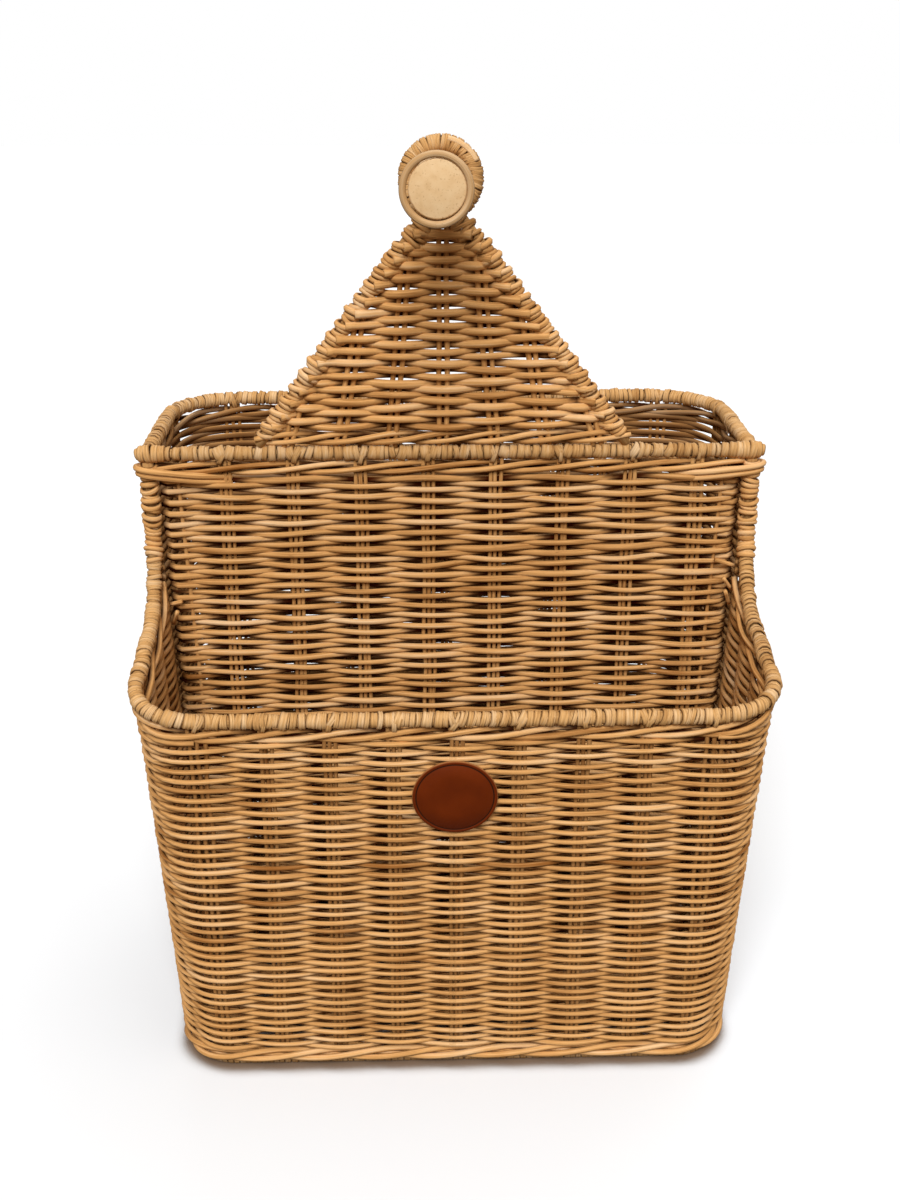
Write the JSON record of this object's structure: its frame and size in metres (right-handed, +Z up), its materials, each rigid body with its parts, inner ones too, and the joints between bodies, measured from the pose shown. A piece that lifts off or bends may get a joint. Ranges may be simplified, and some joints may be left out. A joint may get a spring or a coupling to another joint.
{
  "type": "toilet paper basket",
  "caption": "Free-standing woven cane basket with a low front bin, a tall rear bin behind a divider, and a gable with a wooden peg for a paper roll.",
  "frame": {"origin": "on the floor, under the middle of the basket's outline", "axes": "+Z up, the low front bin and the peg's free end towards -Y, the rear bin towards +Y, +X to the right seen from the front"},
  "size_m": [0.376, 0.2644, 0.5518],
  "materials": {
    "reed": "natural round reed, lightly varnished",
    "cane": "natural cane, lightly varnished",
    "peel": "flat cane peel, satin",
    "peg_wood": "sanded pale wood",
    "leather": "smooth reddish-brown leather, matt"
  },
  "bodies": {
    "root": {"front_back_stake_1": "reed", "front_back_stake_2": "reed", "front_back_stake_3": "reed", "front_back_stake_4": "reed", "front_back_stake_5": "reed", "front_back_stake_6": "reed", "front_back_stake_7": "reed", "front_back_stake_8": "reed", "front_back_stake_9": "reed", "side_to_side_stake_1": "reed", "side_to_side_stake_2": "reed", "side_to_side_stake_3": "reed", "side_to_side_stake_4": "reed", "side_to_side_stake_5": "reed", "side_to_side_stake_6": "reed", "divider_stake_1": "reed", "divider_stake_2": "reed", "divider_stake_3": "reed", "divider_stake_4": "reed", "divider_stake_5": "reed", "divider_stake_6": "reed", "divider_stake_7": "reed", "divider_stake_8": "reed", "gable_stake_1": "reed", "gable_stake_2": "reed", "gable_stake_3": "reed", "gable_stake_4": "reed", "gable_stake_5": "reed", "gable_stake_6": "reed", "gable_stake_7": "reed", "base_mat": "reed", "foot_waling": "reed", "front_weave": "reed", "back_weave": "reed", "left_weave": "reed", "right_weave": "reed", "front_left_corner": "reed", "front_right_corner": "reed", "back_left_corner": "reed", "back_right_corner": "reed", "front_waling": "reed", "rear_waling": "reed", "divider_weave": "reed", "divider_waling": "reed", "gable_weave": "reed", "gable_waling": "reed", "front_rim_cane": "cane", "rear_rim_cane": "cane", "divider_rim_cane": "cane", "gable_left_cane": "cane", "gable_right_cane": "cane", "peg_collar": "cane", "foot_border": "peel", "front_rim_binding": "peel", "rear_rim_binding": "peel", "divider_rim_binding": "peel", "peg_hoop": "peel", "roll_peg": "peg_wood", "leather_badge": "leather"}
  },
  "joints": []
}
